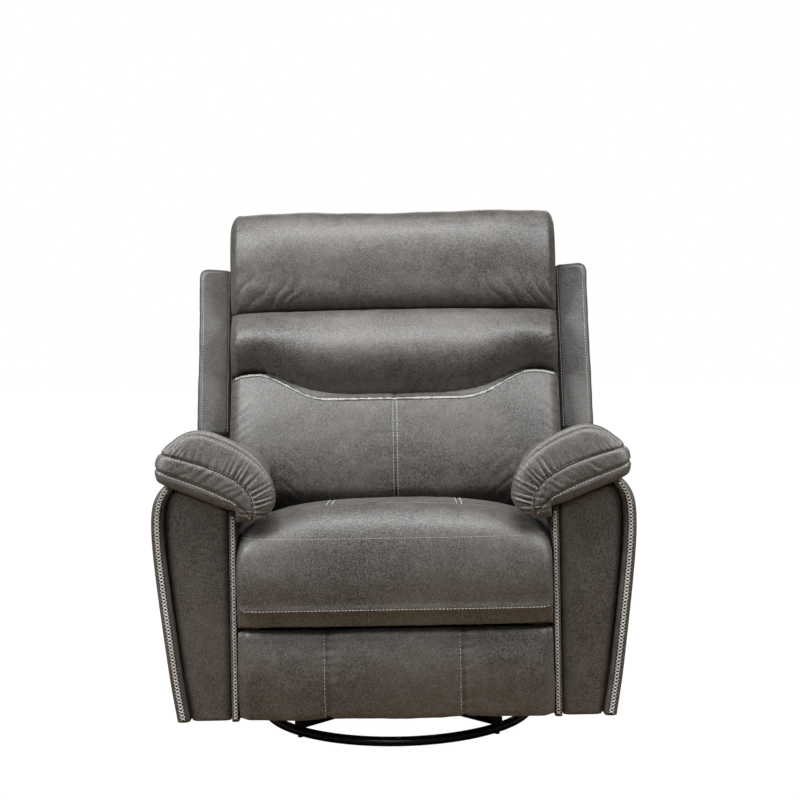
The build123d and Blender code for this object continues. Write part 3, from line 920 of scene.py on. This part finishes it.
def pillowRelief(hand):
    def relief(co):
        x, y, z = co.x / mm * hand, co.y / mm, co.z / mm
        if z < armTop(x) + 2 and x > 300:
            return 0
        value = 1.6 * wobble(x, y, z, 130) + 0.5 * wobble(x, y, z, 34)
        value -= 1.2 * exp(-(((y + 452) / 1.8) ** 2)) * smooth(552, 570, z)
        face = smooth(-404, -446, y)
        if face > 0:
            spot = Vector((x, z))
            upper, along, above = seamReach(pillowUpper, spot)
            lower, _, under = seamReach(pillowLower, spot)
            value -= face * (3.4 * exp(-((upper / 2.8) ** 2)) + 3.2 * exp(-((lower / 2.8) ** 2)))
            seed = 3 * hand
            outside = above > 0 or x < 262
            if outside:
                inner = smooth(105, 175, along) * exp(-((upper / 32) ** 2))
                value += face * 9.5 * inner * creases(along, 9.2, seed) * smooth(0, 6, upper)
                outer = smooth(95, 45, along) * exp(-((upper / 20) ** 2))
                slant = creases(0.75 * x + 0.66 * z, 8, seed + 1)
                value += face * 3.0 * outer * slant * smooth(0, 6, upper)
                value += face * 1.1 * gathers(along, upper, 26, 16, seed + 2)
            elif under > 0:
                edge = smooth(0, 7, min(upper, lower))
                patch = 0.5 + 0.9 * noise.noise(Vector((x / 26, z / 26, seed)))
                along = 0.5 * x + 0.87 * z + 9 * noise.noise(Vector((x / 30, z / 30, seed + 9)))
                depth = face * 4.2 * edge * max(0, patch) * smooth(430, 385, x)
                value += depth * creases(along, 15, seed + 4)
        return value

    return relief


pillowObjs = {}
for side, hand in sides:
    rings = pillowRings(hand)
    pillowBm = loft(rings + capped(rings[-1]))
    press(pillowBm, pillowRelief(hand))
    pillowObjs[side] = cushion(
        pillowBm, f"soft_pillow_{side}", "chair", [f"arm_pillow_{side}"]
    )

# Arm panels: the outer and inner skins end in a round bead at the front
outerRows = (
    (arm["floor"], 414),
    (171, 426),
    (265, 438.5),
    (360, 450),
    (436, 457),
    (484, 457.5),
    (512, 453),
    (532, 443),
    (546, 430),
)
skin = {
    "outer": 24,
    "inner": 14,
    "outerTop": outerRows[-1][0],
    "innerTop": arm["innerTop"] - 1,
    "outerBead": 12,
    "innerBead": 6.9,
    "step": 4.5,
}
armCover = {"inner": 300, "outer": 426, "thick": 6, "front": -434}
frontPanel = {
    "inner": 313,
    "bend": 500,
    "rear": -404,
    "flank": -421,
    "front": -427,
    "gap": 27.5,
}
cup = {"front": -205, "rear": -105, "low": 415, "high": 485}


def panelRings(hand, spans, front, rear, bead):
    counts = None
    rings = []
    for z, inner, outer in spans:
        corners = [(inner, rear, 3), (inner, front, bead), (outer, front, bead), (outer, rear, 3)]
        counts = counts or outlineCounts(corners, skin["step"])
        rings.append([point(hand * p.x, p.y, z) for p in outline(corners, counts)])
    return rings


def outerAt(z):
    return spline(outerRows, z)


# Hole for the release cup, with walls through the skin
def cutWindow(bm):
    cuts = (
        ((0, cup["front"], 0), (0, 1, 0)),
        ((0, cup["rear"], 0), (0, 1, 0)),
        ((0, 0, cup["low"]), (0, 0, 1)),
        ((0, 0, cup["high"]), (0, 0, 1)),
    )
    for place, normal in cuts:
        everything = list(bm.verts) + list(bm.edges) + list(bm.faces)
        bmesh.ops.bisect_plane(bm, geom=everything, plane_co=point(*place), plane_no=normal)
    gone = []
    for face in bm.faces:
        centre = face.calc_center_median() / mm
        if cup["front"] < centre.y < cup["rear"] and cup["low"] < centre.z < cup["high"]:
            gone.append(face)
    bmesh.ops.delete(bm, geom=gone, context="FACES")
    bmesh.ops.bridge_loops(bm, edges=[edge for edge in bm.edges if edge.is_boundary])
    bmesh.ops.recalc_face_normals(bm, faces=bm.faces)


def coverRings(hand):
    rings = []
    front, rear, thick = armCover["front"], arm["rear"], armCover["thick"]
    for x in steps(armCover["inner"], armCover["outer"], 14):
        top = armTop(x)
        corners = [
            (front, top - thick, 3),
            (rear, top - thick, 3),
            (rear, top, 3),
            (front, top, 3),
        ]
        section = outline(corners, [(2, 60), (2, 1), (2, 60), (2, 1)])
        rings.append([point(hand * x, p.x, p.y) for p in section])
    return rings


# Front panel between the two beads, up to where they meet
def frontRings(hand):
    rings = []
    rear, flank, front = frontPanel["rear"], frontPanel["flank"], frontPanel["front"]
    for z in steps(arm["floor"], 540, 60):
        edge = outerAt(z) - frontPanel["gap"]
        low = frontPanel["inner"]
        if z >= frontPanel["bend"]:
            low = low + (z - frontPanel["bend"]) * 2.6
        if low > edge - 12:
            break
        corners = [
            (low, rear, 2),
            (low, flank, 4),
            (low + 9, front, 8),
            (edge - 9, front, 8),
            (edge, flank, 4),
            (edge, rear, 2),
        ]
        section = outline(corners, [(2, 2), (4, 2), (4, 16), (4, 2), (4, 2), (2, 20)])
        rings.append([point(hand * p.x, p.y, z) for p in section])
    return rings


outerObjs, innerObjs = {}, {}
for side, hand in sides:
    levels = steps(arm["floor"], skin["outerTop"], 64)
    spans = [(z, outerAt(z) - skin["outer"], outerAt(z)) for z in levels]
    outerBm = loft(closed(panelRings(hand, spans, arm["front"], arm["rear"], skin["outerBead"])))
    if side == "left":
        cutWindow(outerBm)
    outerObjs[side] = cushion(
        outerBm, f"outer_skin_{side}", "chair", [f"arm_outer_panel_{side}"]
    )
    levels = steps(arm["floor"], skin["innerTop"], 56)
    spans = [(z, arm["inner"], arm["inner"] + skin["inner"]) for z in levels]
    innerBm = loft(closed(panelRings(hand, spans, arm["front"], arm["rear"], skin["innerBead"])))
    innerObjs[side] = cushion(
        innerBm, f"inner_skin_{side}", "chair", [f"arm_inner_panel_{side}"]
    )
    cushion(loft(coverRings(hand)), f"arm_cover_{side}", "chair", [])
    cushion(
        loft(frontRings(hand)), f"front_inset_{side}", "chair", [f"arm_front_panel_{side}"]
    )
print("stage: arms")

# Stitching: short bars of thread laid on the finished surfaces
trees = {}


def surface(obj):
    if obj.name not in trees:
        places = [v.co for v in obj.data.vertices]
        faces = [f.vertices for f in obj.data.polygons]
        trees[obj.name] = BVHTree.FromPolygons(places, faces)
    return trees[obj.name]


# Where rays from far off meet a surface
def laid(obj, sources, direction=inward):
    found = []
    for source in sources:
        place, normal = surface(obj).ray_cast(source - direction * 0.5, direction)[:2]
        if place:
            found.append((place, normal))
    return found


def spaced(path, pitch):
    marks, left = [], 0
    for (a, normal), (b, other) in zip(path, path[1:]):
        span = (b - a).length
        while left < span:
            marks.append((a.lerp(b, left / span), normal, (b - a).normalized()))
            left += pitch
        left -= span
    return marks


stitchBm = bmesh.new()
bmesh.ops.create_uvsphere(stitchBm, u_segments=7, v_segments=5, radius=1)
stitchMesh = bpy.data.meshes.new("stitch")
stitchBm.to_mesh(stitchMesh)
stitchBm.free()


def bar(bm, start, end, normal, radius):
    along = (end - start).normalized()
    side = normal.cross(along).normalized()
    turn = Matrix((along, side, along.cross(side))).transposed().to_4x4()
    size = Matrix.Diagonal(((end - start).length / 2 + radius * 0.4, radius, radius * 0.8, 1))
    centre = (start + end) / 2 + normal * radius * 0.35
    place = Matrix.Translation(centre) @ turn @ size
    stitchMesh.transform(place)
    bm.from_mesh(stitchMesh)
    stitchMesh.transform(place.inverted())


def runStitch(bm, path, length=5.4, gap=1.6, radius=0.75):
    for place, normal, along in spaced(path, (length + gap) * mm):
        bar(bm, place, place + along * length * mm, normal, radius * mm)


def crossStitch(bm, path, width, radius, pitch=6.6):
    for place, normal, along in spaced(path, pitch * mm):
        side = normal.cross(along).normalized() * width / 2 * mm
        step = along * pitch * mm
        bar(bm, place - side, place + step + side, normal, radius * mm)
        bar(bm, place + side, place + step - side, normal, radius * mm)


def sewn(bm, name, body, kind):
    finished(bm, name, body, [], kind)


# A dark strip under the lacing, painted shade standing in for the lacing's shadow, laid over the
# surface from several lines
def laceShadeStrip(name, body, obj, stations, direction=inward):
    rings = []
    for sources in stations:
        row = laid(obj, sources, direction)
        if len(row) == len(sources):
            upper = [place + normal * 0.35 * mm for place, normal in row]
            rings.append(upper + [place - normal * 1.2 * mm for place, normal in reversed(row)])
    sewn(loft(rings), name, body, laceShade)


afar = 900
backThread = bmesh.new()
for x in (-4.6, 4.6):
    line = [backPoint(x, 300, w) for w in steps(125, waveHeight(0) - 15, 60)]
    runStitch(backThread, laid(lumbarObj, line, backward))
waveLine = [backPoint(x, 200, waveHeight(x) - 6.5) for x in steps(-366, 366, 240)]
waveStations = [
    [backPoint(x, 200, waveHeight(x) - d) for d in (11, 8, 5, 2)] for x in steps(-368, 368, 200)
]
# Painted shade strip under the lacing along the wave seam
laceShadeStrip("wave_lace_shade", "back", lumbarObj, waveStations, backward)
sewn(backThread, "back_stitching", "back", thread)
backLace = bmesh.new()
crossStitch(backLace, laid(lumbarObj, waveLine, backward), 7.4, 0.62)
sewn(backLace, "back_lacing", "back", lace)

wingThread = bmesh.new()
for side, hand in sides:
    for x, radius in ((wing["outer"] - 11, 0.7), (wing["inner"] + 6, 0.9)):
        levels = steps(wing["low"] + 12, wing["high"] - 12, 80)
        line = [backPoint(hand * x, 200, w) for w in levels]
        runStitch(wingThread, laid(wingObjs[side], line, backward), 4.6, 1.8, radius)
sewn(wingThread, "wing_stitching", "back", thread)

seatThread = bmesh.new()
line = [point(x, -afar, seatSeam(x) + 5) for x in steps(-288, 288, 160)]
runStitch(seatThread, laid(seatObj, line))
line = [point(x, -afar, 444) for x in steps(-288, 288, 160)]
runStitch(seatThread, laid(seatObj, line), 3.6, 2.0, 0.55)
line = [point(x, seatCrest(x) - 9, afar) for x in steps(-262, 262, 150)]
runStitch(seatThread, laid(seatObj, line, downward), 4.4, 2.0, 0.6)
for x in (-seat["panel"] - 5, -seat["panel"] + 5, seat["panel"] - 5, seat["panel"] + 5):
    line = [point(x, y, afar) for y in steps(seatCrest(x) + 8, 40, 80)]
    runStitch(seatThread, laid(seatObj, line, downward), 5, 2.2, 0.9)
sewn(seatThread, "seat_stitching", "seat", thread)

footThread = bmesh.new()
for x in (-footrest["channel"] - 7, footrest["channel"] - 7):
    line = [point(x, -afar, z) for z in steps(108, 264, 50)]
    runStitch(footThread, laid(footObj, line))
sewn(footThread, "footrest_stitching", "footrest", thread)

outerShadeLines, innerShadeLines = (19, 16, 13, 10, 7), (298, 300.5, 303, 305.5, 308)
armThread, armLace = bmesh.new(), bmesh.new()
for side, hand in sides:
    pillowObj = pillowObjs[side]
    line = [point(hand * (outerAt(z) - 12.5), -afar, z) for z in steps(104, 534, 120)]
    crossStitch(armLace, laid(outerObjs[side], line), 10.4, 0.8)
    stations = [
        [point(hand * (outerAt(z) - d), -afar, z) for d in outerShadeLines] for z in steps(102, 537, 90)
    ]
    # Painted shade strip under the outer arm lacing
    laceShadeStrip(f"outer_lace_shade_{side}", "chair", outerObjs[side], stations)
    line = [point(hand * 303, -afar, z) for z in steps(104, 486, 110)]
    crossStitch(armLace, laid(innerObjs[side], line), 9, 0.8)
    stations = [[point(hand * x, -afar, z) for x in innerShadeLines] for z in steps(102, 490, 80)]
    # Painted shade strip under the inner arm lacing
    laceShadeStrip(f"inner_lace_shade_{side}", "chair", innerObjs[side], stations)
    upper = seamPoints(pillowUpper, 110)
    line = [point(hand * p.x, -afar, p.y - 2.6) for p in upper]
    runStitch(armThread, laid(pillowObj, line), 4.2, 1.8, 0.75)
    line = [point(hand * (p.x - 3.4), -afar, p.y + 1.5) for p in upper[44:]]
    runStitch(armThread, laid(pillowObj, line), 3.6, 2.2, 0.65)
    ridge = [domePoint(p, 0.9, 12, hand) for p in pillowBase if p.y > 540 and p.x < 436]
    line = [surface(pillowObj).find_nearest(spot)[:2] for spot in ridge]
    runStitch(armThread, line, 3.4, 2.0, 0.6)
    line = [point(hand * p.x, -afar, p.y - 3) for p in seamPoints(pillowLower, 90)]
    runStitch(armThread, laid(pillowObj, line), 4.6, 2.0, 0.8)
sewn(armThread, "arm_stitching", "chair", thread)
sewn(armLace, "arm_lacing", "chair", lace)
print("stage: stitching")

# Floor, light and camera
floorMesh = bpy.data.meshes.new("floor")
floorBm = bmesh.new()
bmesh.ops.create_grid(floorBm, x_segments=1, y_segments=1, size=9)
floorBm.to_mesh(floorMesh)
floorBm.free()
floor = bpy.data.objects.new("floor", floorMesh)
scene.collection.objects.link(floor)
floorMat = bpy.data.materials.new("white floor")
floorMat.use_nodes = True
tree = floorMat.node_tree
tree.nodes.clear()
start = Sock(tree)
seen = start.node("ShaderNodeLightPath", {}, {}, 0)
matt = start.node("ShaderNodeBsdfDiffuse", {}, {"Color": (0.24, 0.17, 0.11, 1)})
bright = start.node("ShaderNodeEmission", {}, {"Color": (1, 1, 1, 1), "Strength": 1.12})
share = start.node("ShaderNodeMixShader", {}, {0: seen * 0.9, 1: matt, 2: bright})
sink = tree.nodes.new("ShaderNodeOutputMaterial")
tree.links.new(share.out, sink.inputs["Surface"])
floorMesh.materials.append(floorMat)

world = bpy.data.worlds.new("studio")
scene.world = world
world.use_nodes = True
tree = world.node_tree
start = Sock(tree)
seen = start.node("ShaderNodeLightPath", {}, {}, 0)
strength = 0.07 + seen * 0.93
ground = tree.nodes["Background"]
ground.inputs["Color"].default_value = (1, 1, 1, 1)
tree.links.new(strength.out, ground.inputs["Strength"])


def areaLight(name, place, aim, size, power):
    lamp = bpy.data.lights.new(name, "AREA")
    lamp.shape = "RECTANGLE"
    lamp.size, lamp.size_y = size
    lamp.energy = power
    lamp.color = (0.95, 0.98, 1.0)
    obj = bpy.data.objects.new(name, lamp)
    obj.location = place
    obj.rotation_euler = (Vector(aim) - Vector(place)).to_track_quat("-Z", "Y").to_euler()
    scene.collection.objects.link(obj)


areaLight("left_softbox", (-2.2, -1.15, 2.5), (0, 0, 0.8), (1.1, 1.3), 146)
areaLight("right_softbox", (2.2, -1.15, 2.4), (0, 0, 0.8), (1.0, 1.3), 106)
areaLight("top_softbox", (0, -0.8, 2.9), (0, -0.4, 0.5), (1.8, 0.8), 100)
areaLight("front_softbox", (-0.5, -3.0, 1.5), (0, 0, 0.3), (1.4, 0.6), 19)
areaLight("rear_softbox", (0, 2.7, 1.7), (0, 0, 0.6), (2.4, 1.0), 60)

lens = bpy.data.cameras.new("camera")
lens.lens = 72.5
lens.sensor_width = 36
camera = bpy.data.objects.new("camera", lens)
lens.shift_y = -0.175
lens.shift_x = -0.0092
camera.location = (0.034, -3.463, 0.962)
aim = Matrix.Rotation(radians(90), 4, "X") @ Matrix.Rotation(radians(-1.0), 4, "Z")
camera.rotation_euler = aim.to_euler()
scene.collection.objects.link(camera)
scene.camera = camera
scene.view_settings.view_transform = "Standard"
print("stage: studio")
